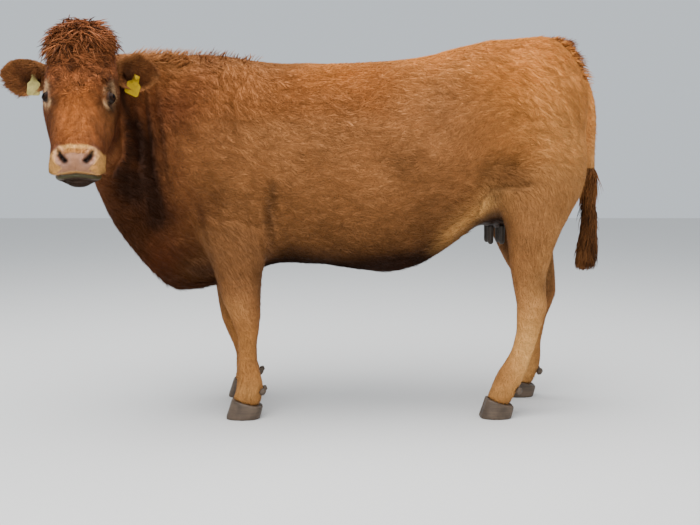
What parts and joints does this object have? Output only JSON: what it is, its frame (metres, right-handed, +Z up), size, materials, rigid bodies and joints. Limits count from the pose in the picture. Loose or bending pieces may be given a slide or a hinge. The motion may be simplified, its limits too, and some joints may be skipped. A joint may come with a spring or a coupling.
{
  "type": "standing cow",
  "caption": "Life-size polled beef cow with a red-brown coat, standing with its head turned to its left, ears held out with blank tags and its tail hanging.",
  "frame": {"origin": "middle of the bounding box, on the floor under the cow", "axes": "+Z up, the body lies along X with the head end towards -X and the tail towards +X, and the cow's left side faces -Y"},
  "size_m": [2.258, 1.1268, 1.4865],
  "materials": {
    "coat": "short red-brown hair, golden on the rump and pale on the lower legs",
    "switch_hair": "long dark brown hair",
    "bare_skin": "dark bare skin",
    "nose_pad": "moist pinkish-beige bare skin",
    "horn": "dull dark horn",
    "eye": "wet dark brown",
    "tag_yellow": "blank yellow plastic, slightly worn",
    "tag_cream": "blank pale cream plastic, slightly worn"
  },
  "bodies": {
    "root": {"trunk": "coat", "neck": "coat", "head": "coat", "ear_left": "coat", "ear_right": "coat", "eye_left": "eye", "eye_right": "eye", "ear_tag_left": "tag_yellow", "ear_tag_stud_left": "tag_yellow", "ear_tag_right": "tag_cream", "ear_tag_stud_right": "tag_cream", "tail": "coat", "tail_switch": "switch_hair", "udder": "bare_skin", "teat_front_left": "bare_skin", "teat_front_right": "bare_skin", "teat_rear_left": "bare_skin", "teat_rear_right": "bare_skin", "foreleg_left_upper": "coat", "foreleg_left_lower": "coat", "foreleg_right_upper": "coat", "foreleg_right_lower": "coat", "hindleg_left_upper": "coat", "hindleg_left_lower": "coat", "hindleg_right_upper": "coat", "hindleg_right_lower": "coat", "claw_foreleg_left_inner": "horn", "claw_foreleg_left_outer": "horn", "claw_foreleg_right_inner": "horn", "claw_foreleg_right_outer": "horn", "claw_hindleg_left_inner": "horn", "claw_hindleg_left_outer": "horn", "claw_hindleg_right_inner": "horn", "claw_hindleg_right_outer": "horn", "dewclaw_foreleg_left_inner": "horn", "dewclaw_foreleg_left_outer": "horn", "dewclaw_foreleg_right_inner": "horn", "dewclaw_foreleg_right_outer": "horn", "dewclaw_hindleg_left_inner": "horn", "dewclaw_hindleg_left_outer": "horn", "dewclaw_hindleg_right_inner": "horn", "dewclaw_hindleg_right_outer": "horn"}
  },
  "joints": []
}
